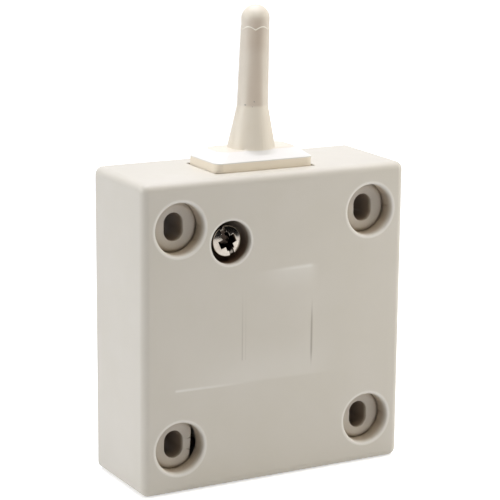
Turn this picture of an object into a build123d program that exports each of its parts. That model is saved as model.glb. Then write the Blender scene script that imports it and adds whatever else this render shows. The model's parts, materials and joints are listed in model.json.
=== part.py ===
from build123d import *
import math
import os

# Surface-mounted pushbutton switch for a door: the pin is pressed down by the door and opens the contacts.
# Millimetres. +Z is up along the pin, -Y is the front with the fixing holes, +Y is the mounting surface.
# The origin is the middle of the housing's bottom.

# Housing
housing_width = 47.0
housing_height = 50.0
housing_depth = 17.0
side_draft = 0.12
edge_round = 1.3
side_wall = 1.8
front_wall = 2.0
inner_corner = 0.8

# Fixing holes in the cover and the base's slotted posts behind them
fixing_edge_x = 6.5
fixing_edge_z = 7.5
fixing_hole_diameter = 8.2
fixing_rim_round = 0.45
collar_wall = 1.0
collar_depth = 0.9
root_overlap = 0.5
cut_margin = 1.0
post_gap = 0.1
post_depth = 2.5
post_edge_round = 0.9
post_flat_offset = 3.2
slot_width = 3.3
slot_length = 4.5

# Cover screw in its recess
cover_screw_inset = 8.8
cover_screw_rise = 1.45
recess_diameter = 6.9
recess_rim_round = 0.25
recess_wall = 1.0
recess_floor = 0.8
head_depth = 1.2
screw_head_diameter = 5.3
screw_head_height = 1.7
screw_head_round = 0.6
screw_shank_diameter = 2.9
screw_length = 9.0
screw_tip_length = 1.2
thread_fit = 0.02
screw_hole_clearance = 0.15
screw_boss_wall = 1.35
pilot_extra_depth = 1.0
screw_tip_diameter = 1.4
drive_angle = 25.0
drive_slot_width = 0.75
drive_slot_depth = 0.7
cross_arm_width = 0.95
cross_arm_length = 3.2
cross_depth = 1.1

# Base plate
plate_thickness = 2.0
plate_clearance = 0.15
plate_corner = 1.2

# Plunger: pin, key, neck and carrier
travel = 4.5
pin_x = -0.3
pin_tip_z = 75.3
pin_tip_radius = 2.25
pin_dome_height = 2.0
pin_foot_radius = 2.485
pin_foot_z = 59.35
flare_skirt_radius = 4.12
key_width = 17.4
key_depth = 10.1
key_corner = 1.3
key_side_height = 1.42
key_rise = 1.4
key_run_x = 1.95
key_run_y = 2.2
key_clearance = 0.2
key_inset = 0.6
key_pocket_width = 2.2
key_pocket_depth = 1.6
key_pocket_wall = 1.2
lip_width = 5.6
lip_reach = 0.9
lip_thickness = 1.4
lip_gap = 0.2
neck_side_gap = 1.4
neck_depth = 7.0
carrier_side_gap = 1.8
carrier_depth = 8.0
carrier_corner = 0.6
carrier_rise = 10.4
carrier_length = 15.4
guide_clearance = 0.12
guide_wall = 1.2
barrier_gap = 0.3
barrier_foot_gap = 3.0
cross_rib_end_x = 10.0
cross_rib_end_left = 17.5
top_rib_width = 1.0
cheek_step = 0.5
cheek_slope_height = 8.0

# Contacts
tip_gap = 0.05
bridge_side_gap = 1.6
strip_thickness = 0.8
strip_width = 4.4
strip_arm_drop = 0.85
strip_bend = 0.8
strip_end_margin = 0.4
bridge_end_margin = 2.2
bridge_width = 4.0
bridge_corner = 0.8
bridge_dimple_radius = 1.3
bridge_dimple_tip_radius = 0.9
bridge_dimple_height = 0.5
tip_head_diameter = 3.0
tip_head_height = 0.7
tip_shank_diameter = 1.6
tip_upset_diameter = 2.3
tip_upset_height = 0.35
tip_fit = 0.02
window_depth = 4.6
window_rest_gap = 1.0
window_height = 7.55

# Springs
return_wire = 0.6
return_diameter = 5.4
return_turns = 7.5
contact_wire = 0.4
contact_diameter = 4.0
contact_turns = 5.5
spring_bore_diameter = 6.2
spring_bore_depth = 5.0
spring_spigot_height = 2.2
spring_spigot_gap = 0.3
contact_spigot_height = 1.2
shelf_drop = 6.0
shelf_thickness = 1.6
stop_gap = 0.3
cup_wall = 0.8
wire_sides = 6

# Terminals
terminal_side_room = 1.0
terminal_drop = 14.4
clamp_height = 5.0
clamp_wall = 0.9
clamp_front_wall = 1.8
clamp_room = 4.6
clamp_throat = 3.85
clamp_corner = 0.4
clamp_side_gap = 0.1
leg_offset = 2.9
leg_rise = 4.0
foot_drop = 3.8
foot_rise = 6.5
foot_pad_gap = 1.0
strip_back_y = 2.2
strip_slot_clearance = 0.05
holder_width = 3.2
holder_gap = 1.55
holder_height = 4.8
holder_front_y = -0.5
terminal_screw_diameter = 3.0
terminal_head_diameter = 4.8
terminal_head_height = 1.6
terminal_head_gap = 0.5
terminal_screw_reach = 1.3

# Cable entry
inlet_diameter = 8.0
inlet_y = 1.0
cable_diameter = 6.4
cable_clearance = 0.2
cable_squeeze = 0.2
clamp_bar_end_gap = 1.7
clamp_bar_width = 4.6
clamp_bar_thickness = 1.8
clamp_bar_corner = 2.2
clamp_ridge_height = 0.8
clamp_ridge_width = 1.0
clamp_screw_margin = 2.8
clamp_screw_z = 7.5
clamp_screw_diameter = 2.5
clamp_screw_length = 6.0
clamp_head_diameter = 4.4
clamp_head_height = 1.5
clamp_boss_diameter = 5.0
saddle_gap = 1.0

# Tolerance for picking edges by their place
near = 0.01

# Planes and levels that several pieces share
back_y = housing_depth / 2
front_y = -housing_depth / 2
front_inner_y = front_y + front_wall
plate_front_y = back_y - plate_thickness
top_inner_z = housing_height - side_wall
middle_z = housing_height / 2
draft_angle = math.degrees(math.atan(side_draft / housing_depth))
fixing_x = housing_width / 2 - fixing_edge_x
fixing_z = (fixing_edge_z, housing_height - fixing_edge_z)
carrier_top_z = middle_z + carrier_rise
carrier_bottom_z = carrier_top_z - carrier_length
shelf_top_z = carrier_bottom_z - shelf_drop
strip_arm_underside_z = carrier_top_z - strip_arm_drop
cover_screw_x = cover_screw_inset - fixing_x
screw_boss_radius = screw_shank_diameter / 2 + screw_boss_wall
cover_screw_z = strip_arm_underside_z + strip_thickness + cover_screw_rise + screw_boss_radius
neck_width = 2 * (-cover_screw_x - screw_boss_radius - neck_side_gap)
post_radius = fixing_hole_diameter / 2 - post_gap
post_front_y = front_y + post_depth
screw_seat_y = front_y + head_depth + screw_head_height
boss_front_y = screw_seat_y + recess_floor
key_top_z = housing_height + key_side_height
key_bottom_z = top_inner_z + key_inset
roof_top_z = key_top_z + key_rise
terminal_x = housing_width / 2 - side_wall - terminal_side_room - clamp_wall - clamp_room / 2
terminal_z = carrier_top_z - terminal_drop
leg_x = terminal_x - leg_offset
leg_bottom_z = terminal_z + leg_rise
foot_bottom_z = terminal_z - foot_drop
foot_top_z = terminal_z + foot_rise
holder_top_z = strip_arm_underside_z - holder_gap
holder_bottom_z = holder_top_z - holder_height
contact_x = leg_x - holder_width / 2 - bridge_side_gap - bridge_end_margin
bridge_length = 2 * (contact_x + bridge_end_margin)
strip_inner_x = contact_x - tip_head_diameter / 2 - strip_end_margin
carrier_width = 2 * (strip_inner_x - carrier_side_gap)
fixed_face_z = strip_arm_underside_z - tip_head_height
bridge_top_z = fixed_face_z - tip_gap - tip_head_height
bridge_bottom_z = bridge_top_z - strip_thickness
window_top_z = bridge_top_z + window_rest_gap
window_floor_z = window_top_z - window_height
bore_top_z = carrier_bottom_z + spring_bore_depth
guide_inner_x = carrier_width / 2 + guide_clearance
guide_outer_x = guide_inner_x + guide_wall
strip_front_y = strip_back_y - strip_width
bridge_room_y = window_depth / 2 + barrier_gap
clamp_back_inner_y = strip_back_y + strip_slot_clearance
clamp_back_y = clamp_back_inner_y + clamp_wall
clamp_front_inner_y = clamp_back_inner_y - clamp_throat
clamp_front_y = clamp_front_inner_y - clamp_front_wall
saddle_y = inlet_y + cable_diameter / 2 + cable_clearance
clamp_boss_front_y = inlet_y - cable_diameter / 2 + cable_squeeze
clamp_bar_front_y = clamp_boss_front_y - clamp_bar_thickness
clamp_bar_length = 2 * (fixing_x - post_radius - clamp_bar_end_gap)
clamp_screw_pitch = clamp_bar_length - 2 * clamp_screw_margin
saddle_width = clamp_screw_pitch - clamp_boss_diameter - 2 * saddle_gap


def facing(y):
    """Plane across the housing at y, drawn in x and z, with its normal to the front."""
    return Plane(origin=(0, y, 0), x_dir=(1, 0, 0), z_dir=(0, -1, 0))


def to_front(sketch, from_y, to_y, taper=0):
    """Prism of a sketch in x and z, from from_y forwards to to_y."""
    return extrude(facing(from_y) * sketch, amount=from_y - to_y, taper=taper)


def upright(sketch, from_z, to_z):
    """Prism of a sketch in x and y, from from_z up to to_z."""
    return extrude(Plane.XY.offset(from_z) * sketch, amount=to_z - from_z)


def sideways(sketch, from_x, to_x):
    """Prism of a sketch in y and z, from from_x to to_x."""
    return extrude(Plane.YZ.offset(from_x) * sketch, amount=to_x - from_x)


def span(low, high, low_v, high_v):
    """Rectangle between two pairs of limits."""
    return Pos((low + high) / 2, (low_v + high_v) / 2) * Rectangle(high - low, high_v - low_v)


def fixing_places():
    return [(x, z) for z in fixing_z for x in (-fixing_x, fixing_x)]


def mirrored(shape):
    return mirror(shape, about=Plane.YZ)


def edges_at_y(shape, y):
    return [edge for edge in shape.edges() if abs(edge.center().Y - y) < near]


def helical_spring(wire, outer_diameter, turns, low_z, high_z):
    """Compression spring between two levels, its wire drawn with a few flat sides."""
    height = high_z - low_z - wire
    radius = (outer_diameter - wire) / 2
    path = Helix(pitch=height / turns, height=height, radius=radius, center=(0, 0, low_z + wire / 2))
    section = Plane(origin=path @ 0, z_dir=path % 0) * RegularPolygon(wire / 2, wire_sides)
    return sweep(section, path=path, is_frenet=True)


def cover():
    outline = Pos(0, middle_z) * Rectangle(housing_width, housing_height)
    shell = to_front(outline, back_y, front_y, draft_angle)
    shell = fillet([edge for edge in shell.edges() if edge.center().Y < back_y - near], edge_round)
    room_width = housing_width - 2 * side_wall
    room_height = housing_height - 2 * side_wall
    room = Pos(0, middle_z) * RectangleRounded(room_width, room_height, inner_corner)
    shell -= to_front(room, back_y, front_inner_y, draft_angle)
    shell += cover_bosses()
    shell += cover_ribs()
    for x, z in fixing_places():
        shell -= to_front(Pos(x, z) * Circle(fixing_hole_diameter / 2), back_y, front_y - cut_margin)
    shell -= to_front(screw_place(recess_diameter / 2), screw_seat_y, front_y - cut_margin)
    shell -= to_front(screw_place(screw_shank_diameter / 2 + screw_hole_clearance), back_y, front_y)
    shell = fillet(rims(shell, fixing_hole_diameter / 2), fixing_rim_round)
    shell = fillet(rims(shell, recess_diameter / 2), recess_rim_round)
    window = Pos(pin_x, 0) * Rectangle(key_width + 2 * key_clearance, key_depth + 2 * key_clearance)
    shell -= upright(window, top_inner_z - cut_margin, housing_height + cut_margin)
    shell -= upright(Pos(0, inlet_y) * Circle(inlet_diameter / 2), -cut_margin, side_wall + cut_margin)
    return shell


def screw_place(radius):
    return Pos(cover_screw_x, cover_screw_z) * Circle(radius)


def rims(shell, radius):
    """Circular edges of one radius in the cover's front face."""
    circles = ShapeList(edges_at_y(shell, front_y)).filter_by(GeomType.CIRCLE)
    return [circle for circle in circles if abs(circle.radius - radius) < near]


def cover_bosses():
    """Collars round the fixing holes and the tube that carries the screw's seat."""
    root_y = front_inner_y - root_overlap
    collar = Circle(fixing_hole_diameter / 2 + collar_wall)
    bosses = to_front(screw_place(recess_diameter / 2 + recess_wall), boss_front_y, root_y)
    for x, z in fixing_places():
        bosses += to_front(Pos(x, z) * collar, front_inner_y + collar_depth, root_y)
    return bosses


def cover_ribs():
    """Barriers beside the carrier and the two cross ribs that keep it from tipping forwards."""
    root_y = front_inner_y - root_overlap
    cross_y = -carrier_depth / 2 - barrier_gap
    low_z = shelf_top_z + barrier_foot_gap
    high_z = carrier_top_z
    half = guide_wall / 2
    ribs = to_front(span(-cross_rib_end_left, cross_rib_end_x, low_z - half, low_z + half), cross_y, root_y)
    ribs += to_front(span(-guide_inner_x, guide_inner_x, high_z - top_rib_width, high_z), cross_y, root_y)
    for side in (-1, 1):
        edges = sorted((side * guide_inner_x, side * guide_outer_x))
        ribs += to_front(span(*edges, low_z, high_z), -bridge_room_y, root_y)
    return ribs


def base():
    plate_width = housing_width - 2 * (side_wall + plate_clearance)
    plate_height = housing_height - 2 * (side_wall + plate_clearance)
    plate = Pos(0, middle_z) * RectangleRounded(plate_width, plate_height, plate_corner)
    body = to_front(plate, back_y, plate_front_y)
    for x, z in fixing_places():
        body += fixing_post(x, z)
    for x, z in fixing_places():
        slot = Pos(x, z) * SlotOverall(slot_length, slot_width, rotation=90)
        body -= to_front(slot, back_y, front_y)
    body += to_front(screw_place(screw_boss_radius), plate_front_y, boss_front_y)
    pilot_y = screw_seat_y + screw_length + pilot_extra_depth
    body -= to_front(screw_place(screw_shank_diameter / 2 + thread_fit), pilot_y, front_y)
    body += plunger_guides() + spring_shelf()
    for side in (-1, 1):
        body += terminal_supports(side)
        place = Pos(side * clamp_screw_pitch / 2, clamp_screw_z)
        body += to_front(place * Circle(clamp_boss_diameter / 2), plate_front_y, clamp_boss_front_y)
        bottom = clamp_boss_front_y + clamp_screw_length - clamp_bar_thickness + pilot_extra_depth
        body -= to_front(place * Circle(clamp_screw_diameter / 2 + thread_fit), bottom, front_y)
    for z in (clamp_screw_z - clamp_ridge_width, clamp_screw_z + clamp_ridge_width):
        ridge = Pos(0, z) * Rectangle(saddle_width, clamp_ridge_width)
        body += to_front(ridge, plate_front_y, saddle_y)
    return body


def fixing_post(x, z):
    """Round post with a rolled front edge; the lower left one has a flat towards the middle."""
    post = to_front(Pos(x, z) * Circle(post_radius), plate_front_y, post_front_y)
    post = fillet(edges_at_y(post, post_front_y), post_edge_round)
    if x < 0 and z < middle_z:
        beyond = span(x + post_flat_offset, x + 2 * post_radius, z - 2 * post_radius, z + 2 * post_radius)
        post -= to_front(beyond, plate_front_y, front_y)
    return post


def plunger_guides():
    """Cheeks beside the carrier, which also brace the spring shelf, and two pads behind it."""
    low_z = shelf_top_z - shelf_thickness
    cheek = Polyline(
        (plate_front_y, low_z),
        (-carrier_depth / 2, low_z),
        (-carrier_depth / 2, shelf_top_z + cheek_step),
        (bridge_room_y, shelf_top_z + cheek_slope_height),
        (bridge_room_y, carrier_top_z),
        (plate_front_y, carrier_top_z),
        close=True,
    )
    cheek = make_face(cheek)
    guides = sideways(cheek, guide_inner_x, guide_outer_x) + sideways(cheek, -guide_outer_x, -guide_inner_x)
    pad_y = carrier_depth / 2 + guide_clearance
    for side in (-1, 1):
        middle = side * carrier_width / 4
        half = guide_wall / 2
        guides += to_front(span(middle - half, middle + half, low_z, carrier_top_z), plate_front_y, pad_y)
    return guides


def spring_shelf():
    """Shelf with the cup that stops the carrier and the spigot that centres the return spring."""
    low_z = shelf_top_z - shelf_thickness
    outline = span(-guide_outer_x, guide_outer_x, -carrier_depth / 2, plate_front_y)
    shelf = upright(outline, low_z, shelf_top_z)
    cup_inner = spring_bore_diameter / 2
    stop_z = carrier_bottom_z - travel - stop_gap
    cup = Circle(cup_inner + cup_wall) - Circle(cup_inner)
    shelf += upright(cup, shelf_top_z, stop_z)
    spigot = return_diameter / 2 - return_wire - spring_spigot_gap
    return shelf + upright(Circle(spigot), shelf_top_z, shelf_top_z + spring_spigot_height)


def terminal_supports(side):
    """Slotted holder of the contact strip and the pads behind its foot and the box clamp."""
    leg = side * leg_x
    holder = span(leg - holder_width / 2, leg + holder_width / 2, holder_bottom_z, holder_top_z)
    support = to_front(holder, plate_front_y, holder_front_y)
    half = strip_thickness / 2 + strip_slot_clearance
    slot = span(leg - half, leg + half, holder_bottom_z, holder_top_z)
    support -= to_front(slot, strip_back_y, holder_front_y)
    middle = side * terminal_x
    pad = (middle - clamp_room / 2, middle + clamp_room / 2)
    clamp_low = terminal_z - clamp_height / 2
    clamp_high = terminal_z + clamp_height / 2
    foot_low = clamp_high + foot_pad_gap
    support += to_front(span(*pad, clamp_low, clamp_high), plate_front_y, clamp_back_y)
    support += to_front(span(*pad, foot_low, foot_top_z), plate_front_y, strip_back_y)
    inner = middle - side * (clamp_room / 2 + clamp_wall + clamp_side_gap)
    edges = sorted((inner, inner - side * guide_wall))
    return support + to_front(span(*edges, clamp_low, clamp_high), plate_front_y, clamp_front_inner_y)


def plunger():
    body = Pos(pin_x, 0, 0) * (pin() + key()) + neck_and_carrier()
    window = span(-window_depth / 2, window_depth / 2, window_floor_z, window_top_z)
    body -= sideways(window, -carrier_width, carrier_width)
    body -= upright(Circle(spring_bore_diameter / 2), carrier_bottom_z, bore_top_z)
    spigot = contact_diameter / 2 - contact_wire - spring_spigot_gap
    return body + upright(Circle(spigot), window_floor_z, window_floor_z + contact_spigot_height)


def pin():
    """Turned form of the pin: domed tip, slim taper, and the flare that runs into the key's roof."""
    dome_z = pin_tip_z - pin_dome_height
    half_angle = math.atan(pin_dome_height / pin_tip_radius)
    ball = pin_dome_height / (2 * math.sin(half_angle) ** 2)
    dome_mid = (ball * math.sin(half_angle), pin_tip_z - ball + ball * math.cos(half_angle))
    outline = Polyline(
        (pin_tip_radius, dome_z),
        (pin_foot_radius, pin_foot_z),
        (flare_skirt_radius, key_top_z),
        (flare_skirt_radius, housing_height),
        (0, housing_height),
        (0, pin_tip_z),
    )
    outline += ThreePointArc((0, pin_tip_z), dome_mid, (pin_tip_radius, dome_z))
    return revolve(Plane.XZ * make_face(outline), Axis.Z)


def key():
    """Rectangular key that slides in the cover's window, with a hipped roof and two cored pockets."""
    footprint = RectangleRounded(key_width, key_depth, key_corner)
    block = upright(footprint, key_bottom_z, key_top_z)
    ridge = RectangleRounded(key_width - 2 * key_run_x, key_depth - 2 * key_run_y, key_corner)
    block += loft([Plane.XY.offset(key_top_z) * footprint, Plane.XY.offset(roof_top_z) * ridge])
    pocket_x = (key_width - key_pocket_width) / 2 - key_pocket_wall
    pocket = Rectangle(key_pocket_width, key_depth - 2 * key_pocket_wall)
    for side in (-1, 1):
        block -= upright(Pos(side * pocket_x, 0) * pocket, key_bottom_z, key_bottom_z + key_pocket_depth)
    return block


def neck_and_carrier():
    """Retaining lips under the cover's top, the neck, and the carrier of the contact bridge."""
    lip_top_z = top_inner_z - lip_gap
    lips = upright(Rectangle(lip_width, key_depth + 2 * lip_reach), lip_top_z - lip_thickness, lip_top_z)
    neck = upright(Rectangle(neck_width, neck_depth), carrier_top_z, key_bottom_z)
    outline = RectangleRounded(carrier_width, carrier_depth, carrier_corner)
    return lips + neck + upright(outline, carrier_bottom_z, carrier_top_z)


def cover_screw():
    """Pan head screw along Y with a combined slot and cross recess."""
    head_y = front_y + head_depth
    head = to_front(screw_place(screw_head_diameter / 2), screw_seat_y, head_y)
    head = fillet(edges_at_y(head, head_y), screw_head_round)
    cone_y = screw_seat_y + screw_length
    shank_y = cone_y - screw_tip_length
    shank = screw_place(screw_shank_diameter / 2)
    point = loft([facing(shank_y) * shank, facing(cone_y) * screw_place(screw_tip_diameter / 2)])
    place = Pos(cover_screw_x, cover_screw_z) * Rot(0, 0, drive_angle)
    slot = place * Rectangle(drive_slot_width, screw_head_diameter + cut_margin)
    head -= to_front(slot, head_y + drive_slot_depth, head_y)
    arms = Rectangle(cross_arm_length, cross_arm_width) + Rectangle(cross_arm_width, cross_arm_length)
    head -= to_front(place * arms, head_y + cross_depth, head_y)
    return head + to_front(shank, shank_y, screw_seat_y) + point


def contact_bridge():
    """Flat strip with a dimple that sits in the contact spring, pierced for its two rivets."""
    outline = RectangleRounded(bridge_length, bridge_width, bridge_corner)
    strip = upright(outline, bridge_bottom_z, bridge_top_z)
    below = (Align.CENTER, Align.CENTER, Align.MAX)
    dimple = Cone(bridge_dimple_tip_radius, bridge_dimple_radius, bridge_dimple_height, align=below)
    strip += Pos(0, 0, bridge_bottom_z) * dimple
    hole = Circle(tip_shank_diameter / 2 + tip_fit)
    for x in (-contact_x, contact_x):
        strip -= upright(Pos(x, 0) * hole, bridge_bottom_z, bridge_top_z)
    return strip


def rivet(x, seat_z, direction):
    """Contact rivet: head on the seat towards direction, shank through the strip, upset end behind it."""
    levels = [
        (tip_head_diameter, 0, tip_head_height),
        (tip_shank_diameter, -strip_thickness, 0),
        (tip_upset_diameter, -strip_thickness - tip_upset_height, -strip_thickness),
    ]
    body = Part()
    for diameter, low, high in levels:
        ends = sorted((seat_z + direction * low, seat_z + direction * high))
        body += upright(Pos(x, 0) * Circle(diameter / 2), *ends)
    return body


def contact_strip():
    """Right-hand strip: arm over the bridge, leg down through the holder, foot turned into the clamp."""
    half = strip_thickness / 2
    arm_top_z = strip_arm_underside_z + strip_thickness
    side_view = Polyline(
        (strip_inner_x, strip_arm_underside_z),
        (strip_inner_x, arm_top_z),
        (leg_x + half, arm_top_z),
        (leg_x + half, leg_bottom_z),
        (leg_x - half, leg_bottom_z),
        (leg_x - half, strip_arm_underside_z),
        close=True,
    )
    bent = to_front(make_face(side_view), strip_back_y, strip_front_y)
    bent = fillet(bent.edges().filter_by(Axis.Y).group_by(Axis.Z)[-1].sort_by(Axis.X)[-1], strip_bend)
    foot_far_x = terminal_x + strip_width / 2
    foot = span(terminal_x - strip_width / 2, foot_far_x, foot_bottom_z, foot_top_z)
    foot += span(leg_x - half, foot_far_x, leg_bottom_z, foot_top_z)
    bent += to_front(foot, strip_back_y, strip_back_y - strip_thickness)
    hole = Pos(contact_x, 0) * Circle(tip_shank_diameter / 2 + tip_fit)
    return bent - upright(hole, strip_arm_underside_z, arm_top_z)


def terminal_clamp():
    """Right-hand box clamp: a brass frame open along Z, with a tapped front wall."""
    middle = Pos(terminal_x, (clamp_front_y + clamp_back_y) / 2)
    outline = RectangleRounded(clamp_room + 2 * clamp_wall, clamp_back_y - clamp_front_y, clamp_corner)
    frame = middle * outline
    half = clamp_room / 2
    frame -= span(terminal_x - half, terminal_x + half, clamp_front_inner_y, clamp_back_inner_y)
    body = upright(frame, terminal_z - clamp_height / 2, terminal_z + clamp_height / 2)
    thread = Pos(terminal_x, terminal_z) * Circle(terminal_screw_diameter / 2 + thread_fit)
    return body - to_front(thread, clamp_front_inner_y, clamp_front_y)


def fastener(x, z, seat_y, head_diameter, head_height, shank_diameter, length):
    """Slotted screw along Y whose head stands on seat_y."""
    place = Pos(x, z)
    top_y = seat_y - head_height
    head = to_front(place * Circle(head_diameter / 2), seat_y, top_y)
    head = fillet(edges_at_y(head, top_y), head_height / 4)
    slot = place * Rectangle(drive_slot_width, head_diameter + cut_margin)
    head -= to_front(slot, top_y + drive_slot_depth, top_y)
    return head + to_front(place * Circle(shank_diameter / 2), seat_y + length, seat_y)


def terminal_screw():
    seat_y = clamp_front_y - terminal_head_gap
    length = clamp_front_inner_y + terminal_screw_reach - seat_y
    return fastener(
        terminal_x, terminal_z, seat_y, terminal_head_diameter, terminal_head_height,
        terminal_screw_diameter, length,
    )


def cable_clamp():
    """Bar across the cord with two ridges that bite its sheath."""
    rounded = Pos(0, clamp_screw_z) * RectangleRounded(clamp_bar_length, clamp_bar_width, clamp_bar_corner)
    bar = to_front(rounded, clamp_boss_front_y, clamp_bar_front_y)
    half = clamp_ridge_width / 2
    reach = saddle_width / 2
    for z in (clamp_screw_z - clamp_ridge_width, clamp_screw_z + clamp_ridge_width):
        ridge = span(-reach, reach, z - half, z + half)
        bar += to_front(ridge, clamp_boss_front_y + clamp_ridge_height, clamp_boss_front_y)
    for side in (-1, 1):
        hole = Pos(side * clamp_screw_pitch / 2, clamp_screw_z)
        bar -= to_front(hole * Circle(clamp_screw_diameter / 2 + screw_hole_clearance), back_y, front_y)
    return bar


def cable_clamp_screw():
    return fastener(
        clamp_screw_pitch / 2, clamp_screw_z, clamp_bar_front_y, clamp_head_diameter, clamp_head_height,
        clamp_screw_diameter, clamp_screw_length,
    )


def build():
    parts = {
        "cover": cover(),
        "base": base(),
        "plunger": plunger(),
        "cover_screw": cover_screw(),
        "return_spring": helical_spring(
            return_wire, return_diameter, return_turns, shelf_top_z, bore_top_z
        ),
        "contact_spring": helical_spring(
            contact_wire, contact_diameter, contact_turns, window_floor_z, bridge_bottom_z
        ),
        "contact_bridge": contact_bridge(),
        "bridge_tip_right": rivet(contact_x, bridge_top_z, 1),
        "fixed_tip_right": rivet(contact_x, strip_arm_underside_z, -1),
        "contact_strip_right": contact_strip(),
        "terminal_clamp_right": terminal_clamp(),
        "terminal_screw_right": terminal_screw(),
        "cable_clamp": cable_clamp(),
        "cable_clamp_screw_right": cable_clamp_screw(),
    }
    for name in [name for name in parts if name.endswith("_right")]:
        parts[name.replace("_right", "_left")] = mirrored(parts[name])
    return parts


os.makedirs("parts", exist_ok=True)
for node, shape in build().items():
    export_step(shape, f"parts/{node}.step")
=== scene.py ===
import json
import math

import bmesh
import bpy
from mathutils import Matrix, Vector


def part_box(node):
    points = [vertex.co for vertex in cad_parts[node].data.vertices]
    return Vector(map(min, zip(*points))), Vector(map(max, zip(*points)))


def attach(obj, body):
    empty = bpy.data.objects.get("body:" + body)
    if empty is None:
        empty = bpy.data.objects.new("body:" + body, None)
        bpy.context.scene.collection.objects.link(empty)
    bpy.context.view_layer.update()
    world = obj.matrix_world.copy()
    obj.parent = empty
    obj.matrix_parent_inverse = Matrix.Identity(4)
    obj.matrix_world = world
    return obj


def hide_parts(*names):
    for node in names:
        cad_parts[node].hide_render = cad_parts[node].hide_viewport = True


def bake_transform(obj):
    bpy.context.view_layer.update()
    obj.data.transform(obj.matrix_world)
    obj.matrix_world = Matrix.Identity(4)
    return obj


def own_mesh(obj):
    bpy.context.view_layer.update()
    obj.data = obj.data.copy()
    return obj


# Pushbutton switch for a door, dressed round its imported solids.
# Lengths in the script are millimetres unless they say otherwise; MM turns them into the scene's metres.
MM = 0.001

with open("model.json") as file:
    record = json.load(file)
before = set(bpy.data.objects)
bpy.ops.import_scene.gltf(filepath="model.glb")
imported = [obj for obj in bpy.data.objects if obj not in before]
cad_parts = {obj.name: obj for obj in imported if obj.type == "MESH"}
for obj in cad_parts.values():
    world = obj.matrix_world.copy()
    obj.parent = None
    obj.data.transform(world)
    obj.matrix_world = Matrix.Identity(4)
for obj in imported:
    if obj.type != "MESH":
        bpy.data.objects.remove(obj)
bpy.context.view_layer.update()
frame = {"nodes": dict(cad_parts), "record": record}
nodes = frame["nodes"]

# ---- Sizes shared with the solids, in millimetres
FRONT_Y = -8.5
ROOF_TOP = 52.82
PIN_X = -0.3
PIN_TIP = 75.3
PIN_FOOT = 59.35
PIN_FOOT_RADIUS = 2.485
PIN_TIP_RADIUS = 2.25
DOME_HEIGHT = 2.0
SKIRT_RADIUS = 4.12
SKIRT_LEVEL = 51.42
FIXING_X = 17.0
FIXING_Z = (7.5, 42.5)
POST_RADIUS = 4.0
POST_LEVEL_RADIUS = 3.1
POST_FACE = -6.0
POST_ROLL_END = -5.1
SCREW_X = -8.2
SCREW_Z = 39.6
SCREW_TOP = -7.3
SCREW_SEAT = -5.6
SCREW_TURN = 66.0
SCREW_CROWN = 0.2
SCREW_HEAD_RADIUS = 2.52
SCREW_EDGE = 0.24
RECESS_RADIUS = 3.45
SHELF_TOP = 14.0
BORE_TOP = 25.0
WINDOW_FLOOR = 26.55
BRIDGE_UNDERSIDE = 32.3

# The pin leans sideways by LEAN for each millimetre above LEAN_LEVEL, and carries painted shade and a painted
# highlight on one side
LEAN = 0.0286
LEAN_LEVEL = 51.75
PAINTED_LIGHT_SIDE = math.radians(-111.0)

# The posts' edges roll off less deeply than on the solid, and fill the cover's holes. The lower left
# post's flat lies nearer to its middle and is turned by some degrees.
POST_GROWTH = 0.112
POST_GROWTH_END = POST_ROLL_END + 0.6
POST_ROLL_DEPTH = 0.74
POST_FLAT = 2.95
POST_FLAT_TURN = 5.0

# Slack in telling which points of a solid belong to a form
NEAR = 0.05

# Vertices of a solid's loose triangles that lie closer than this are one vertex, in metres
JOIN = 0.000002

# Attribute that marks the painted highlight on the edge of the pin's ledge
LEDGE_LIGHT = "ledge_light"


class Value:
    """One output of a finish's nodes. Arithmetic on it adds Math nodes."""

    def __init__(self, finish, socket):
        self.finish = finish
        self.socket = socket

    def maths(self, operation, first, second):
        return self.finish.node("Math", {"operation": operation}, {0: first, 1: second})

    def __add__(self, other):
        return self.maths("ADD", self, other)

    def __radd__(self, other):
        return self.maths("ADD", other, self)

    def __sub__(self, other):
        return self.maths("SUBTRACT", self, other)

    def __rsub__(self, other):
        return self.maths("SUBTRACT", other, self)

    def __mul__(self, other):
        return self.maths("MULTIPLY", self, other)

    def __rmul__(self, other):
        return self.maths("MULTIPLY", other, self)

    def __truediv__(self, other):
        return self.maths("DIVIDE", self, other)

    def __rtruediv__(self, other):
        return self.maths("DIVIDE", other, self)

    def __pow__(self, other):
        return self.maths("POWER", self, other)

    def __abs__(self):
        return self.maths("ABSOLUTE", self, 0.0)


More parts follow.
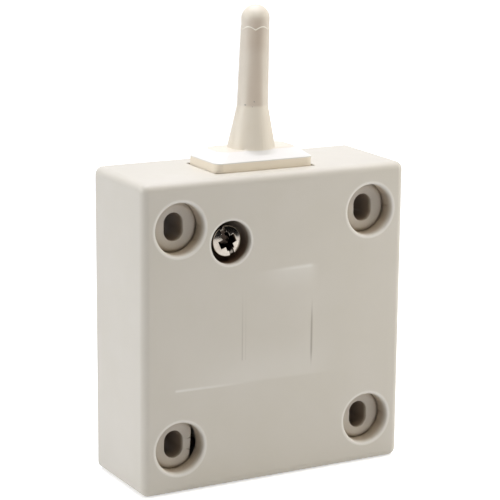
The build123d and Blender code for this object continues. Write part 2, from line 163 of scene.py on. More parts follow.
class Finish:
    """A material on a Principled shader, with its nodes added by one method."""

    def __init__(self, name, **constants):
        self.material = bpy.data.materials.new(name)
        self.material.use_nodes = True
        self.tree = self.material.node_tree
        self.shader = self.tree.nodes["Principled BSDF"]
        for socket, value in constants.items():
            self.shader.inputs[socket.replace("_", " ")].default_value = value

    def node(self, kind, settings=None, inputs=None, output=0):
        made = self.tree.nodes.new("ShaderNode" + kind)
        for name, value in (settings or {}).items():
            setattr(made, name, value)
        for name, value in (inputs or {}).items():
            self.feed(made.inputs[name], value)
        return Value(self, made.outputs[output])

    def feed(self, socket, value):
        if isinstance(value, Value):
            self.tree.links.new(value.socket, socket)
        else:
            socket.default_value = value

    def set(self, **links):
        for socket, value in links.items():
            self.feed(self.shader.inputs[socket.replace("_", " ")], value)

    def place(self):
        """Object coordinates in millimetres, as x, y and z."""
        where = self.node("TexCoord", output="Object")
        apart = self.node("SeparateXYZ", {}, {0: where}).socket.node
        return [Value(self, apart.outputs[axis]) * 1000.0 for axis in "XYZ"]

    def noise(self, grain, detail=3.0, roughness=0.5, stretch=(1.0, 1.0, 1.0)):
        """Noise whose features are about grain millimetres across."""
        where = self.node("TexCoord", output="Object")
        if stretch != (1.0, 1.0, 1.0):
            where = self.node("Mapping", {}, {"Vector": where, "Scale": stretch})
        return self.node("TexNoise", {}, {
            "Vector": where, "Scale": 1000.0 / grain, "Detail": detail, "Roughness": roughness,
        })

    def fade(self, value, low, high):
        """0 below low and 1 above high, smooth between them."""
        return self.node("MapRange", {"interpolation_type": "SMOOTHSTEP"}, {
            "Value": value, "From Min": low, "From Max": high,
        })

    def mix(self, share, first, second):
        """Colour from first to second."""
        made = self.node("Mix", {"data_type": "RGBA"}, {0: share, 6: first, 7: second})
        return Value(self, made.socket.node.outputs[2])

    def bump(self, height, depth):
        """Normal of a surface whose height of 1 stands depth millimetres high."""
        return self.node("Bump", {}, {"Strength": 1.0, "Distance": depth * MM, "Height": height})


def rgb(red, green, blue):
    """Linear colour from one that is written as it shows, 0 to 255."""
    def linear(channel):
        share = channel / 255.0
        return share / 12.92 if share <= 0.04045 else ((share + 0.055) / 1.055) ** 2.4
    return (linear(red), linear(green), linear(blue), 1.0)


def metal(name, colour, roughness, scratch=0.5, stretch=(1.0, 1.0, 1.0)):
    """Plated or drawn metal: cloudy gloss and fine marks of its making."""
    finish = Finish(name, Metallic=1.0)
    stain = finish.fade(finish.noise(grain=1.1, detail=4.0, roughness=0.6), 0.42, 0.75)
    dull = tuple(channel * 0.72 for channel in colour[:3]) + (1.0,)
    marks = finish.noise(scratch, detail=4.0, roughness=0.6, stretch=stretch)
    finish.set(
        Base_Color=finish.mix(stain, colour, dull),
        Roughness=marks * 0.18 + (roughness - 0.06),
        Normal=finish.bump(marks, depth=0.004),
    )
    return finish


def below(finish, value, low, high):
    """1 below low and 0 above high, smooth between them."""
    return 1.0 - finish.fade(value, low, high)


def between(finish, value, low, high, soft_low, soft_high):
    """1 from low to high, fading out over its own distance at each end."""
    return finish.fade(value, low - soft_low, low) * below(finish, value, high, high + soft_high)


def stripe(finish, value, width, core=0.0):
    """1 where value is within core of 0, and 0 from width on."""
    return below(finish, abs(value), core, width)


def distance(finish, *sides):
    """Length of the line whose sides are given."""
    return finish.node("Math", {"operation": "SQRT"}, {0: sum(side ** 2.0 for side in sides)})


def sign(finish, value):
    return finish.node("Math", {"operation": "SIGN"}, {0: value})


def clouded(finish, grain, first, second):
    """Moulded plastic's colour, which drifts between two shades."""
    return finish.mix(finish.fade(finish.noise(grain, detail=2.0), 0.3, 0.7), first, second)


def from_fixing_hole(finish, x, z):
    """Places across and up from the nearest fixing hole's middle, and the distance to it."""
    middle_z = sum(FIXING_Z) / 2
    across = x - sign(finish, x) * FIXING_X
    above = z - middle_z
    up = above - sign(finish, above) * (FIXING_Z[1] - middle_z)
    return across, up, distance(finish, across, up)


# Optical constants of the three mouldings, and the grain of their surface
PLASTIC = {"Specular_IOR_Level": 0.5, "IOR": 1.46}
SURFACE_GRAIN = 0.35
CLOUDED_GLOSS = 2.5

# Ribs inside the cover, which show on its front: level of the lower and upper ones at x 0 and their
# rise for each millimetre to the right, and places of the upright ones
LOW_RIB, LOW_RIB_RISE = 16.6, -0.018
TOP_RIB, TOP_RIB_RISE = 34.5, 0.012
LEFT_RIB, RIGHT_RIB = -6.15, 6.35
SINK, SWELL = 0.06, 0.07


def low_rib_mark(finish, x, z):
    """Depth of the mark above the lower rib, where the front sinks, and its painted highlight."""
    level = z - x * LOW_RIB_RISE - LOW_RIB
    step = finish.fade(level, -0.22, 0.24) * between(finish, x, -14.8, -12.0, 3.2, 14.0)
    slope = finish.fade(level, -0.1, 3.9) * between(finish, x, -13.0, 7.0, 5.0, 6.0)
    depth = (step + slope) * SINK * below(finish, z, 20.5, 32.0)
    line = stripe(finish, level - 0.02, 0.36) * between(finish, x, -17.6, -15.0, 0.5, 12.0)
    broad_highlight = finish.fade(level, -0.2, 0.4) * below(finish, z, 17.0, 25.0)
    broad_highlight = broad_highlight * between(finish, x, -9.0, 4.0, 9.0, 9.0)
    return depth, line * 0.66 + broad_highlight * 0.2


def top_rib_mark(finish, x, z):
    """Height of the mark below the upper rib, where the front swells, and its painted highlight."""
    level = z - x * TOP_RIB_RISE - TOP_RIB
    step = below(finish, level, -0.25, 0.35) * between(finish, x, 3.0, 4.6, 6.0, 2.6)
    slope = below(finish, level, -3.3, 0.2) * between(finish, x, 1.0, 3.6, 6.0, 4.0)
    height = (step * SINK + slope * SWELL) * finish.fade(z, 20.0, 31.0)
    line = stripe(finish, level, 0.5) * between(finish, x, 4.6, 5.9, 6.0, 1.0)
    broad_highlight = below(finish, level, -0.2, 0.3) * finish.fade(z, 30.0, 35.5)
    broad_highlight = broad_highlight * between(finish, x, 3.0, 5.6, 8.0, 2.4)
    return height, line * 0.42 + broad_highlight * 0.38


def rib_grooves_and_shade(finish, x, z):
    """Narrow groove marks over the upright ribs, both as sunk relief and as painted shade: a spindle on the
    right, two fine lines on the left.
    """
    right = between(finish, z, 21.0, 24.5, 4.2, 5.8)
    spindle = stripe(finish, x - RIGHT_RIB - z * 0.003, right * 0.24 + 0.06) * right
    left = between(finish, z, 20.6, 22.5, 0.3, 11.0)
    first_line = stripe(finish, x - LEFT_RIB, 0.2) * left
    second_line = stripe(finish, x - LEFT_RIB - 0.6, 0.13) * left
    return spindle * 0.5 + (first_line + second_line * 0.5) * 0.22


def cover_plastic():
    """Ivory moulding with faint marks of its ribs, painted highlights along them and painted shade over the
    upright ribs, painted highlights on the rim of each opening, and painted brown shade in its openings.
    """
    finish = Finish("ivory_cover", **PLASTIC)
    x, y, z = finish.place()
    front = below(finish, y, FRONT_Y + 0.05, FRONT_Y + 0.2)
    sunk, low_mark_highlight = low_rib_mark(finish, x, z)
    proud, top_mark_highlight = top_rib_mark(finish, x, z)
    grooves_and_shade = rib_grooves_and_shade(finish, x, z)
    ivory = clouded(finish, 9.0, rgb(218, 212, 199), rgb(220, 214, 202))
    # Painted highlight along the rib marks on the front
    ivory = finish.mix((low_mark_highlight + top_mark_highlight) * front, ivory, rgb(248, 245, 238))
    # Painted shade in the narrow groove over each upright rib
    ivory = finish.mix(grooves_and_shade * front, ivory, rgb(120, 104, 82))

    # Painted highlight on the rim of each opening, and painted brown shade on the walls of the fixing holes
    from_hole = from_fixing_hole(finish, x, z)[2]
    from_screw = distance(finish, x - SCREW_X, z - SCREW_Z)
    rim_highlight = stripe(finish, from_hole - 4.45, 0.35, 0.05) + stripe(finish, from_screw - 3.68, 0.3, 0.03)
    ivory = finish.mix(rim_highlight * below(finish, y, -8.25, -7.9) * 0.5, ivory, rgb(252, 249, 242))
    hole_wall_shade = below(finish, from_hole, 4.15, 4.3) * finish.fade(y, -8.15, -7.0)
    ivory = finish.mix(hole_wall_shade * 0.5, ivory, rgb(164, 140, 112))
    # Painted brown shade in the screw's recess, deeper towards its lower side
    recess = below(finish, from_screw, RECESS_RADIUS + 0.1, RECESS_RADIUS + 0.3) * finish.fade(y, -8.2, -7.2)
    lowness = finish.fade((x - SCREW_X) * 0.3 - (z - SCREW_Z) * 0.95, -2.0, 3.0)
    relief = (proud - sunk - grooves_and_shade * 0.03) * front
    finish.set(
        Base_Color=finish.mix(recess * (lowness * 0.24 + 0.71), ivory, rgb(92, 66, 46)),
        Roughness=finish.noise(CLOUDED_GLOSS) * 0.16 + 0.34,
        Normal=finish.bump(relief + finish.noise(SURFACE_GRAIN) * 0.005, depth=1.0),
    )
    return finish


def base_plastic():
    """Ivory moulding of the base, with painted brown shade in its slots and at the lower right of its posts'
    edges.
    """
    finish = Finish("ivory_base", **PLASTIC)
    x, y, z = finish.place()
    across, up, away = from_fixing_hole(finish, x, z)
    ivory = clouded(finish, 7.0, rgb(213, 204, 190), rgb(217, 209, 196))
    # Painted brown shade at the lower right of the posts' rolled edges
    low_right_shade = finish.fade(across * 0.6 - up * 0.8, -1.2, 3.6) * finish.fade(away, 3.3, 4.1)
    ivory = finish.mix(low_right_shade * below(finish, y, -5.0, -4.6) * 0.5, ivory, rgb(98, 74, 54))
    # Painted brown shade deep in the slots
    inside = finish.fade(y, POST_FACE + 0.05, POST_FACE + 1.0) * below(finish, y, 2.5, 6.5)
    finish.set(
        Base_Color=finish.mix(inside * below(finish, away, 3.05, 3.2) * 0.68, ivory, rgb(116, 88, 62)),
        Roughness=finish.noise(CLOUDED_GLOSS) * 0.16 + 0.42,
        Normal=finish.bump(finish.noise(SURFACE_GRAIN), depth=0.006),
    )
    return finish


# Specks at the pin's foot, as (x, z, size)
SPECKS = ((-2.12, 59.75, 0.15), (-1.0, 60.3, 0.13), (-1.28, 59.5, 0.09))


def plunger_plastic():
    """Warmer ivory of the plunger, with painted light on its key and roof, a pin darker from wear and painted
    shade, painted shade down one side, a painted highlight on its ledge, and specks.
    """
    finish = Finish("ivory_plunger", **PLASTIC)
    x, y, z = finish.place()
    ivory = clouded(finish, 5.0, rgb(235, 225, 207), rgb(238, 229, 212))
    # Painted light: the key's front lighter and its roof whiter than the rest of the moulding
    ivory = finish.mix(between(finish, z, 49.0, 51.2, 1.0, 0.2), ivory, rgb(251, 240, 220))
    ivory = finish.mix(between(finish, z, 51.35, 52.6, 0.15, 0.3), ivory, rgb(245, 242, 237))

    # The pin is darker all round, partly as wear and partly as painted shade, and carries more painted shade
    # on one side
    blotches = finish.fade(finish.noise(1.6, stretch=(1.0, 1.0, 0.6)), 0.35, 0.65)
    above_foot = finish.fade(z, 59.3, 59.8)
    wear_and_shade = above_foot * below(finish, z, 71.8, 74.0)
    ivory = finish.mix(wear_and_shade * (blotches * 0.25 + 0.75), ivory, rgb(229, 219, 203))
    off_axis = x - PIN_X - (z - LEAN_LEVEL) * LEAN
    facing = (off_axis * math.cos(PAINTED_LIGHT_SIDE) + y * math.sin(PAINTED_LIGHT_SIDE)) / PIN_FOOT_RADIUS
    # Painted shade down one side of the pin, from its foot nearly to the tip
    shade_streak = finish.fade(facing, 0.78, 0.98) * above_foot * below(finish, z, 72.3, 74.2)
    ivory = finish.mix(shade_streak * 0.6, ivory, rgb(208, 191, 172))
    # Painted shade around the ledge on that same side
    ledge_shade = between(finish, z, 69.6, 72.6, 2.6, 1.3) * finish.fade(facing, 0.3, 0.95)
    ivory = finish.mix(ledge_shade * 0.34, ivory, rgb(194, 173, 152))
    # Painted highlight on the edge of the ledge, strongest on that side
    edge = finish.node("Attribute", {"attribute_name": LEDGE_LIGHT}, output="Fac")
    ivory = finish.mix(edge * finish.fade(facing, 0.0, 0.75), ivory, rgb(255, 250, 236))

    specks = sum(
        below(finish, distance(finish, x - speck_x, z - speck_z), size * 0.4, size)
        for speck_x, speck_z, size in SPECKS
    )
    finish.set(
        Base_Color=finish.mix(specks * below(finish, y, -0.6, -0.1) * 0.45, ivory, rgb(70, 66, 60)),
        Roughness=blotches * 0.1 + 0.33,
        Normal=finish.bump(finish.noise(SURFACE_GRAIN), depth=0.006),
    )
    return finish


def screw_plate():
    """Nickel of the cover screw, bright on its crown, with painted shade in its drive and below its rim."""
    finish = Finish("nickel_plate", Metallic=1.0)
    x, y, z = finish.place()
    away = distance(finish, x - SCREW_X, z - SCREW_Z)
    crown = (away / (SCREW_HEAD_RADIUS - SCREW_EDGE)) ** 2.0 * SCREW_CROWN + SCREW_TOP
    # Painted shade below the crown's level, in the drive and under the rim, lighter near the slot's ends
    sunk = finish.fade(y - crown, 0.05, 0.22)
    slot_ends = finish.fade(away, 1.7, 2.0) * below(finish, away, 2.25, 2.4)
    stain = finish.fade(finish.noise(grain=1.1, detail=4.0, roughness=0.6), 0.42, 0.75)
    plate = finish.mix(stain, rgb(182, 174, 163), rgb(166, 157, 145))
    marks = finish.noise(0.4)
    finish.set(
        Base_Color=finish.mix(sunk * (0.97 - slot_ends * 0.4), plate, rgb(38, 29, 23)),
        Roughness=marks * 0.08 + 0.09,
        Normal=finish.bump(marks, depth=0.0003),
    )
    return finish


# Finish of each of the record's material slots
FINISHES = {
    "ivory_cover": cover_plastic(),
    "ivory_base": base_plastic(),
    "ivory_plunger": plunger_plastic(),
    "nickel": screw_plate(),
    "spring_steel": metal("drawn_spring_wire", rgb(176, 175, 170), 0.3, scratch=0.2, stretch=(1.0, 1.0, 4.0)),
    "brass": metal("stamped_brass", rgb(205, 168, 96), 0.3, scratch=0.6, stretch=(0.3, 3.0, 1.0)),
    "silver": metal("silver_facing", rgb(226, 223, 216), 0.26),
    "zinc_steel": metal("zinc_plate", rgb(190, 193, 196), 0.3),
}


def dress(piece, finish):
    piece.data.materials.clear()
    piece.data.materials.append(finish.material)


for part in frame["record"]["subparts"]:
    dress(nodes[part["node"]], FINISHES[part["material_slot"]])


# ---- Ways of making pieces
ALONG_Y = (0.0, 1.0, 0.0)
ALONG_Z = (0.0, 0.0, 1.0)
STEPS_PER_TURN = 36


def copied(node):
    """A node's solid as one joined form."""
    form = bmesh.new()
    form.from_mesh(nodes[node].data)
    bmesh.ops.remove_doubles(form, verts=form.verts, dist=JOIN)
    return form


def turned(profile, x, z, segments=64):
    """Form spun from (radius, y) points about a line along Y through x and z."""
    form = bmesh.new()
    points = [form.verts.new((x * MM + radius * MM, y * MM, z * MM)) for radius, y in profile]
    line = [form.edges.new(pair) for pair in zip(points, points[1:])]
    bmesh.ops.spin(
        form, geom=points + line, cent=(x * MM, 0.0, z * MM), axis=ALONG_Y,
        angle=math.tau, steps=segments, use_merge=True, use_duplicate=False,
    )
    bmesh.ops.remove_doubles(form, verts=form.verts, dist=JOIN)
    bmesh.ops.recalc_face_normals(form, faces=form.faces)
    return form


def coiled(section, middle, axis, stages):
    """Form swept from a closed section of points along a screw line, in stages of (turns, rise)."""
    form = bmesh.new()
    ring = [form.verts.new(Vector(point) * MM) for point in section]
    front = [form.edges.new(pair) for pair in zip(ring, ring[1:] + ring[:1])]
    first = list(front)
    for turns, rise in stages:
        steps = max(4, round(turns * STEPS_PER_TURN))
        swept = bmesh.ops.spin(
            form, geom=front, cent=Vector(middle) * MM, axis=axis, dvec=Vector(axis) * (rise * MM / steps),
            angle=turns * math.tau, steps=steps, use_merge=False, use_duplicate=False,
        )
        front = [item for item in swept["geom_last"] if isinstance(item, bmesh.types.BMEdge)]
    for end in (first, front):
        bmesh.ops.contextual_create(form, geom=end)
    bmesh.ops.recalc_face_normals(form, faces=form.faces)
    return form


def plain_object(form, name):
    """Object at the origin from a form, which it uses up."""
    mesh = bpy.data.meshes.new(name)
    form.to_mesh(mesh)
    form.free()
    piece = bpy.data.objects.new(name, mesh)
    bpy.context.scene.collection.objects.link(piece)
    return piece


def piece_from(form, name, slot, sharp=35.0):
    """Piece in the finish of a material slot, smooth except at edges sharper than an angle."""
    piece = plain_object(form, name)
    piece.data.shade_smooth()
    piece.data.set_sharp_from_angle(angle=math.radians(sharp))
    dress(piece, FINISHES[slot])
    return piece


def weigh_normals(piece):
    """Let large faces rule the shading of the roundings beside them."""
    weigh = piece.modifiers.new("weigh", "WEIGHTED_NORMAL")
    weigh.keep_sharp = True


def turn_about_y(form, degrees, x, z):
    spin = Matrix.Rotation(math.radians(degrees), 3, "Y")
    bmesh.ops.rotate(form, cent=(x * MM, 0.0, z * MM), matrix=spin, verts=form.verts)


def box_form(low, high, turn=0.0, about=(0.0, 0.0)):
    """Box between two corners, turned about a line along Y through about."""
    form = bmesh.new()
    bmesh.ops.create_cube(form, size=1.0)
    size = [(b - a) * MM for a, b in zip(low, high)]
    middle = [(a + b) / 2 * MM for a, b in zip(low, high)]
    bmesh.ops.scale(form, vec=size, verts=form.verts)
    bmesh.ops.translate(form, vec=middle, verts=form.verts)
    turn_about_y(form, turn, *about)
    return form


def carved(form, cutters, round_off=0.0):
    """The form with each cutter taken out of it and its sharp edges eased."""
    body = plain_object(form, "carving")
    tools = []
    for cutter in cutters:
        tool = plain_object(cutter, "cutter")
        cut = body.modifiers.new("cut", "BOOLEAN")
        cut.operation = "DIFFERENCE"
        cut.solver = "EXACT"
        cut.object = tool
        tools.append(tool)
    if round_off:
        ease = body.modifiers.new("ease", "BEVEL")
        ease.width = round_off * MM
        ease.segments = 2
        ease.limit_method = "ANGLE"
        ease.angle_limit = math.radians(40.0)
    bpy.context.view_layer.update()
    seen = body.evaluated_get(bpy.context.evaluated_depsgraph_get())
    result = bmesh.new()
    result.from_mesh(seen.data)
    for thing in [body] + tools:
        bpy.data.objects.remove(thing)
    bmesh.ops.remove_doubles(result, verts=result.verts, dist=JOIN / 4)
    return result


# ---- Cover and base: the solids' own form, with smooth roundings
def moulding(form, node):
    piece = piece_from(form, f"{node}_moulding", f"ivory_{node}")
    weigh_normals(piece)
    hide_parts(node)
    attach(piece, "housing")


def base_form():
    """The base: its posts fill the cover's holes, with gently rolled edges and one deeper flat."""
    form = copied("base")
    for point in form.verts:
        y = point.co.y / MM
        if y > POST_GROWTH_END:
            continue
        for side in (-FIXING_X, FIXING_X):
            for level in FIXING_Z:
                across = Vector((point.co.x / MM - side, 0.0, point.co.z / MM - level))
                if not POST_LEVEL_RADIUS < across.length < POST_RADIUS + NEAR:
                    continue
                share = (across.length - POST_LEVEL_RADIUS) / (POST_RADIUS - POST_LEVEL_RADIUS)
                point.co += across * (POST_GROWTH * min(1.0, share) / POST_RADIUS) * MM
                if y < POST_ROLL_END + NEAR:
                    point.co.y = (POST_FACE + (y - POST_FACE) * POST_ROLL_DEPTH) * MM
    post_x, post_z = -FIXING_X, FIXING_Z[0]
    low = (post_x + POST_FLAT, POST_FACE - 1.0, post_z - 4.6)
    high = (post_x + 4.13, POST_FACE + 5.0, post_z + 4.6)
    return carved(form, [box_form(low, high, POST_FLAT_TURN, (post_x, post_z))])


# ---- Plunger: its pin leans in the key's play, and carries a scalloped ledge near the tip
LEDGE = 71.53
LEDGE_STEP = 0.07
SCALLOPS = 6
SCALLOP_HEIGHT = 0.49
CUSP_DIRECTION = math.radians(-116.0)
DOME_STEPS = 11
STRAIGHT_BELOW = 42.0
LEANING_ABOVE = 48.0


def pin_rings():
    """Levels of the pin above its cut, as (z, radius, share of the scallops, painted highlight of the ledge).
    """
    slope = (SKIRT_RADIUS - PIN_FOOT_RADIUS) / (PIN_FOOT - SKIRT_LEVEL)
    dome_foot = PIN_TIP - DOME_HEIGHT
    shrink = (PIN_FOOT_RADIUS - PIN_TIP_RADIUS) / (dome_foot - PIN_FOOT)

    def shaft(level):
        return PIN_FOOT_RADIUS - (level - PIN_FOOT) * shrink

    rings = [(level, PIN_FOOT_RADIUS + (PIN_FOOT - level) * slope, 0.0, 0.0) for level in (55.2, 57.2, 58.9)]
    rings += [(PIN_FOOT, PIN_FOOT_RADIUS + 0.03, 0.0, 0.0)]
    rings += [(level, shaft(level), 0.0, 0.0) for level in (59.8, 62.0, 65.0, 68.0, LEDGE - 0.5)]
    rings += [
        (LEDGE - 0.17, shaft(LEDGE), 1.0, 0.0),
        (LEDGE - 0.09, shaft(LEDGE), 1.0, 1.0),
        (LEDGE, shaft(LEDGE) - LEDGE_STEP, 1.0, 1.0),
        (LEDGE + 0.08, shaft(LEDGE) - LEDGE_STEP, 1.0, 0.0),
        (LEDGE + 0.85, shaft(LEDGE) - LEDGE_STEP * 0.7, 0.3, 0.0),
        (LEDGE + 1.3, PIN_TIP_RADIUS, 0.0, 0.0),
    ]
    ball = (DOME_HEIGHT ** 2 + PIN_TIP_RADIUS ** 2) / (2 * DOME_HEIGHT)
    sweep = math.asin(min(1.0, PIN_TIP_RADIUS / ball))
    for step in range(DOME_STEPS):
        angle = sweep * (1.0 - step / DOME_STEPS)
        rings.append((PIN_TIP - ball + ball * math.cos(angle), ball * math.sin(angle), 0.0, 0.0))
    return rings


def lean(point):
    """Sideways lean of the key and pin, which ends inside the housing."""
    level = point.z / MM
    share = min(1.0, max(0.0, (level - STRAIGHT_BELOW) / (LEANING_ABOVE - STRAIGHT_BELOW)))
    point.x += (level - LEAN_LEVEL) * LEAN * share * MM


def plunger():
    form = copied("plunger")
    lit = form.verts.layers.float.new(LEDGE_LIGHT)
    cut_level = ROOF_TOP + 0.35
    cut = bmesh.ops.bisect_plane(
        form, geom=form.verts[:] + form.edges[:] + form.faces[:], dist=JOIN / 4,
        plane_co=(0.0, 0.0, cut_level * MM), plane_no=ALONG_Z, clear_outer=True,
    )
    rim = [item for item in cut["geom_cut"] if isinstance(item, bmesh.types.BMEdge)]
    bmesh.ops.subdivide_edges(form, edges=rim, cuts=1)
    rim = [edge for edge in form.edges if edge.is_boundary]
    for level, radius, share, light in pin_rings():
        grown = bmesh.ops.extrude_edge_only(form, edges=rim)["geom"]
        ring = [item for item in grown if isinstance(item, bmesh.types.BMVert)]
        for point in ring:
            around = math.atan2(point.co.y, point.co.x - PIN_X * MM)
            wave = abs(math.sin((around - CUSP_DIRECTION) * SCALLOPS / 2)) * SCALLOP_HEIGHT * share
            point.co.x = (PIN_X + radius * math.cos(around)) * MM
            point.co.y = radius * math.sin(around) * MM
            point.co.z = (level + wave) * MM
            point[lit] = light
        rim = [item for item in grown if isinstance(item, bmesh.types.BMEdge) and item.is_boundary]
    top = {point for edge in rim for point in edge.verts}
    bmesh.ops.pointmerge(form, verts=list(top), merge_co=(PIN_X * MM, 0.0, PIN_TIP * MM))
    for point in form.verts:
        lean(point.co)
    bmesh.ops.recalc_face_normals(form, faces=form.faces)
    piece = piece_from(form, "plunger_moulding", "ivory_plunger", sharp=30.0)
    weigh_normals(piece)
    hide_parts("plunger")
    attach(piece, "plunger")


# ---- Screws: domed heads, carved drives and rolled threads
DRIVE_ROUND = 0.07
CROWN_STEPS = 14
EDGE_STEPS = 5
SEAT_EDGE = 0.12
CORE_SHARE = 0.8
THREAD_START = 0.5
FLANK_SHARE = 0.34
ROOT_SUNK = 0.05


def screw(node, slot, x, z, head, shank, cutters):
    """Screw along Y, as a crowned head of (radius, height, seat, crown) with a carved drive, and a
    threaded shank of (radius, end, pitch, length of its point)."""
    head_radius, head_height, seat_y, crown = head
    thread_radius, tip_y, pitch, point = shank
    top_y = seat_y - head_height
    core = thread_radius * CORE_SHARE
    level_radius = head_radius - SCREW_EDGE
    shares = [step / CROWN_STEPS for step in range(CROWN_STEPS + 1)]
    profile = [(level_radius * share, top_y + crown * share ** 2) for share in shares]
    for step in range(1, EDGE_STEPS + 1):
        angle = math.pi / 2 * step / EDGE_STEPS
        across, down = math.sin(angle), 1.0 - math.cos(angle)
        profile.append((level_radius + SCREW_EDGE * across, top_y + crown + SCREW_EDGE * down))
    profile += [(head_radius, seat_y - SEAT_EDGE), (head_radius - SEAT_EDGE, seat_y), (core, seat_y)]
    profile += [(core, tip_y - point), (core * (0.55 if point else 0.85), tip_y), (0.0, tip_y)]
    form = carved(turned(profile, x, z), cutters, DRIVE_ROUND)
    start = seat_y + THREAD_START
    flank = pitch * FLANK_SHARE
    root = x + core - ROOT_SUNK
    section = [(root, start - flank, z), (x + thread_radius, start, z), (root, start + flank, z)]
    turns = (tip_y - point - start - flank) / pitch
    thread = coiled(section, (x, 0.0, z), ALONG_Y, [(turns, turns * pitch)])
    whole = bpy.data.meshes.new("thread")
    thread.to_mesh(whole)
    thread.free()
    form.from_mesh(whole)
    bpy.data.meshes.remove(whole)
    piece = piece_from(form, f"{node}_threaded", slot, sharp=30.0)
    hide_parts(node)
    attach(piece, "housing")


def drive_slot(x, z, top_y, length, width, depth, turn):
    """Cutter of a straight slot whose floor is depth below top_y."""
    low = (x - length / 2, top_y - 1.0, z - width / 2)
    high = (x + length / 2, top_y + depth, z + width / 2)
    return box_form(low, high, turn, (x, z))


def cross_arm(x, z, top_y, length, width, depth, turn):
    """Arm of a cross recess that narrows steeply towards its floor."""
    arm = drive_slot(x, z, top_y, length, width, depth, 0.0)
    floor_y = (top_y + depth) * MM
    for vert in arm.verts:
        if abs(vert.co.y - floor_y) < JOIN:
            vert.co.x = x * MM + (vert.co.x - x * MM) * 0.4
            vert.co.z = z * MM + (vert.co.z - z * MM) * 0.6
    turn_about_y(arm, turn, x, z)
    return arm


def cover_screw():
    """Crowned head with a slot and a cross recess, on a pointed shank."""
    place = (SCREW_X, SCREW_Z, SCREW_TOP)
    cutters = [drive_slot(*place, length=7.0, width=0.85, depth=0.6, turn=SCREW_TURN)]
    for arm_turn in (SCREW_TURN, SCREW_TURN + 90.0):
        cutters.append(cross_arm(*place, length=4.1, width=1.6, depth=1.4, turn=arm_turn))
    head = (SCREW_HEAD_RADIUS, SCREW_SEAT - SCREW_TOP, SCREW_SEAT, SCREW_CROWN)
    screw("cover_screw", "nickel", SCREW_X, SCREW_Z, head, (1.45, 3.4, 0.9, 1.2), cutters)


def slotted_screw(node, head_height, thread_radius, pitch):
    """Plain slotted screw sized by its solid's box."""
    low, high = (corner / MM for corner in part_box(node))
    x, z = (low.x + high.x) / 2, (low.z + high.z) / 2
    radius = (high.x - low.x) / 2
    slot = drive_slot(x, z, low.y, length=2 * radius + 1.0, width=0.75, depth=0.7, turn=20.0)
    head = (radius, head_height, low.y + head_height, 0.35)
    screw(node, "zinc_steel", x, z, head, (thread_radius, high.y, pitch, 0.0), [slot])


# ---- Springs: round wire with closed ends
WIRE_SIDES = 14
CLOSED_TURNS = 0.75


def spring(node, wire, outer_diameter, turns, low, high):
    """Compression spring between two levels, of a wire thickness and an outer diameter."""
    middle = (outer_diameter - wire) / 2
    around = [math.tau * step / WIRE_SIDES for step in range(WIRE_SIDES)]
    section = [
        (middle + wire / 2 * math.cos(angle), 0.0, low + wire / 2 + wire / 2 * math.sin(angle))
        for angle in around
    ]
    end_rise = CLOSED_TURNS * wire
    open_rise = high - low - wire - 2 * end_rise
    stages = [(CLOSED_TURNS, end_rise), (turns - CLOSED_TURNS, open_rise), (CLOSED_TURNS, end_rise)]
    form = coiled(section, (0.0, 0.0, 0.0), ALONG_Z, stages)
    piece = piece_from(form, f"{node}_coiled", "spring_steel", sharp=60.0)
    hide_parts(node)
    return piece


moulding(copied("cover"), "cover")
moulding(base_form(), "base")
plunger()
cover_screw()
for side in ("left", "right"):
    slotted_screw(f"terminal_screw_{side}", head_height=1.6, thread_radius=1.5, pitch=0.5)
    slotted_screw(f"cable_clamp_screw_{side}", head_height=1.5, thread_radius=1.25, pitch=0.45)

pushed = spring("return_spring", 0.6, 5.4, 7.5, SHELF_TOP, BORE_TOP)
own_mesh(pushed)
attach(pushed, "housing")

# The contact spring stands from the window's floor up to the bridge's underside.
stretched = spring("contact_spring", 0.4, 4.0, 5.5, WINDOW_FLOOR, BRIDGE_UNDERSIDE)
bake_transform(stretched)


# ---- Stage: floor, lamps and the white behind
def grid_form(size):
    form = bmesh.new()
    bmesh.ops.create_grid(form, x_segments=1, y_segments=1, size=size)
    return form


def floor():
    """Pale floor that shows white to the camera and in reflections, and keeps the object's shadow."""
    finish = Finish("floor_white", Base_Color=(0.8, 0.8, 0.8, 1.0), Roughness=0.9, Emission_Strength=1.0)
    x, y = finish.place()[:2]
    far = finish.fade(distance(finish, x, y), 150.0, 700.0)
    path = finish.node("LightPath", output="Is Camera Ray")
    seen = path + Value(finish, path.socket.node.outputs["Is Glossy Ray"])
    seen = seen + Value(finish, path.socket.node.outputs["Is Transmission Ray"])
    finish.set(Emission_Color=seen * (far * 0.4 + 0.62))
    piece = plain_object(grid_form(6.0), "floor")
    dress(piece, finish)


def dark_card():
    """Dark card standing to the right in front, which only gloss and polished metal reflect."""
    form = grid_form(0.5)
    bmesh.ops.scale(form, vec=(0.5, 0.35, 1.0), verts=form.verts)
    stand = Matrix.Rotation(math.radians(28.6), 3, "Z") @ Matrix.Rotation(math.radians(90.0), 3, "X")
    bmesh.ops.rotate(form, matrix=stand, verts=form.verts)
    bmesh.ops.translate(form, vec=(0.11, -0.21, 0.18), verts=form.verts)
    piece = plain_object(form, "dark_card")
    black = (0.01, 0.01, 0.01, 1.0)
    dress(piece, Finish("card_black", Base_Color=black, Roughness=1.0, Specular_IOR_Level=0.0))
    piece.visible_camera = False
    piece.visible_diffuse = False
    piece.visible_shadow = False
    piece.visible_transmission = False


def lamp(name, place, size, power, colour):
    """Soft lamp aimed at the object, in metres and watts."""
    data = bpy.data.lights.new(name, "AREA")
    data.shape = "RECTANGLE"
    data.size, data.size_y = size
    data.energy = power
    data.color = colour
    piece = bpy.data.objects.new(name, data)
    piece.location = place
    piece.rotation_mode = "QUATERNION"
    piece.rotation_quaternion = (Vector(place) - LAMPS_AIM).to_track_quat("Z", "Y")
    bpy.context.scene.collection.objects.link(piece)


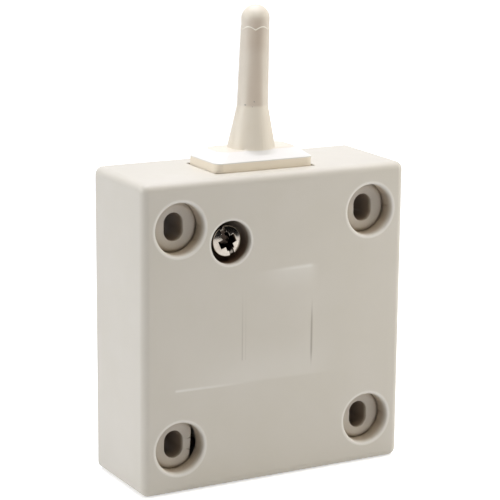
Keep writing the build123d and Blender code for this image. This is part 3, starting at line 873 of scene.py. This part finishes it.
def backdrop():
    """World: white where the camera, gloss or glass meets it, and no light on the object."""
    world = bpy.data.worlds.new("studio")
    world.use_nodes = True
    bpy.context.scene.world = world
    tree = world.node_tree
    background = tree.nodes["Background"]
    path = tree.nodes.new("ShaderNodeLightPath")
    seen = path.outputs["Is Camera Ray"]
    for ray in ("Is Glossy Ray", "Is Transmission Ray"):
        either = tree.nodes.new("ShaderNodeMath")
        either.operation = "MAXIMUM"
        tree.links.new(seen, either.inputs[0])
        tree.links.new(path.outputs[ray], either.inputs[1])
        seen = either.outputs[0]
    tree.links.new(seen, background.inputs["Color"])


# The camera that was solved from the photograph's edges, with angles in degrees
FOCAL_PIXELS = 1891.92
FRAME_PIXELS = 500.0
SENSOR_WIDTH = 36.0
CAMERA_TURN = -28.616
CAMERA_RISE = 12.955
CAMERA_ROLL = 0.491
CAMERA_TARGET = (-0.286, 0.0, 35.914)
CAMERA_DISTANCE = 304.295


def camera():
    data = bpy.data.cameras.new("camera")
    data.sensor_width = SENSOR_WIDTH
    data.lens = FOCAL_PIXELS / FRAME_PIXELS * SENSOR_WIDTH
    data.clip_start = 0.01
    data.clip_end = 20.0
    piece = bpy.data.objects.new("camera", data)
    bpy.context.scene.collection.objects.link(piece)
    turn = Matrix.Rotation(math.radians(CAMERA_TURN), 3, "Z")
    turn = turn @ Matrix.Rotation(math.radians(90.0 - CAMERA_RISE), 3, "X")
    turn = turn @ Matrix.Rotation(math.radians(CAMERA_ROLL), 3, "Z")
    piece.rotation_mode = "QUATERNION"
    piece.rotation_quaternion = turn.to_quaternion()
    piece.location = (Vector(CAMERA_TARGET) + turn @ Vector((0.0, 0.0, CAMERA_DISTANCE))) * MM
    bpy.context.scene.camera = piece


# Where the lamps point, in metres
LAMPS_AIM = Vector((0.0, 0.0, 0.03))

floor()
backdrop()
dark_card()
camera()
lamp("top", (0.0, 0.08, 0.55), (0.5, 0.5), 2.82, (0.975, 1.005, 1.12))
lamp("high_front", (0.03, -0.22, 0.46), (0.3, 0.3), 0.765, (1.0, 0.95, 0.85))
lamp("left", (-0.53, 0.14, 0.14), (0.36, 0.26), 1.11, (0.99, 1.0, 1.0))
lamp("right", (0.15, -0.07, 0.075), (0.12, 0.1), 0.1, (1.0, 0.97, 0.9))

bpy.context.scene.view_settings.view_transform = "Standard"
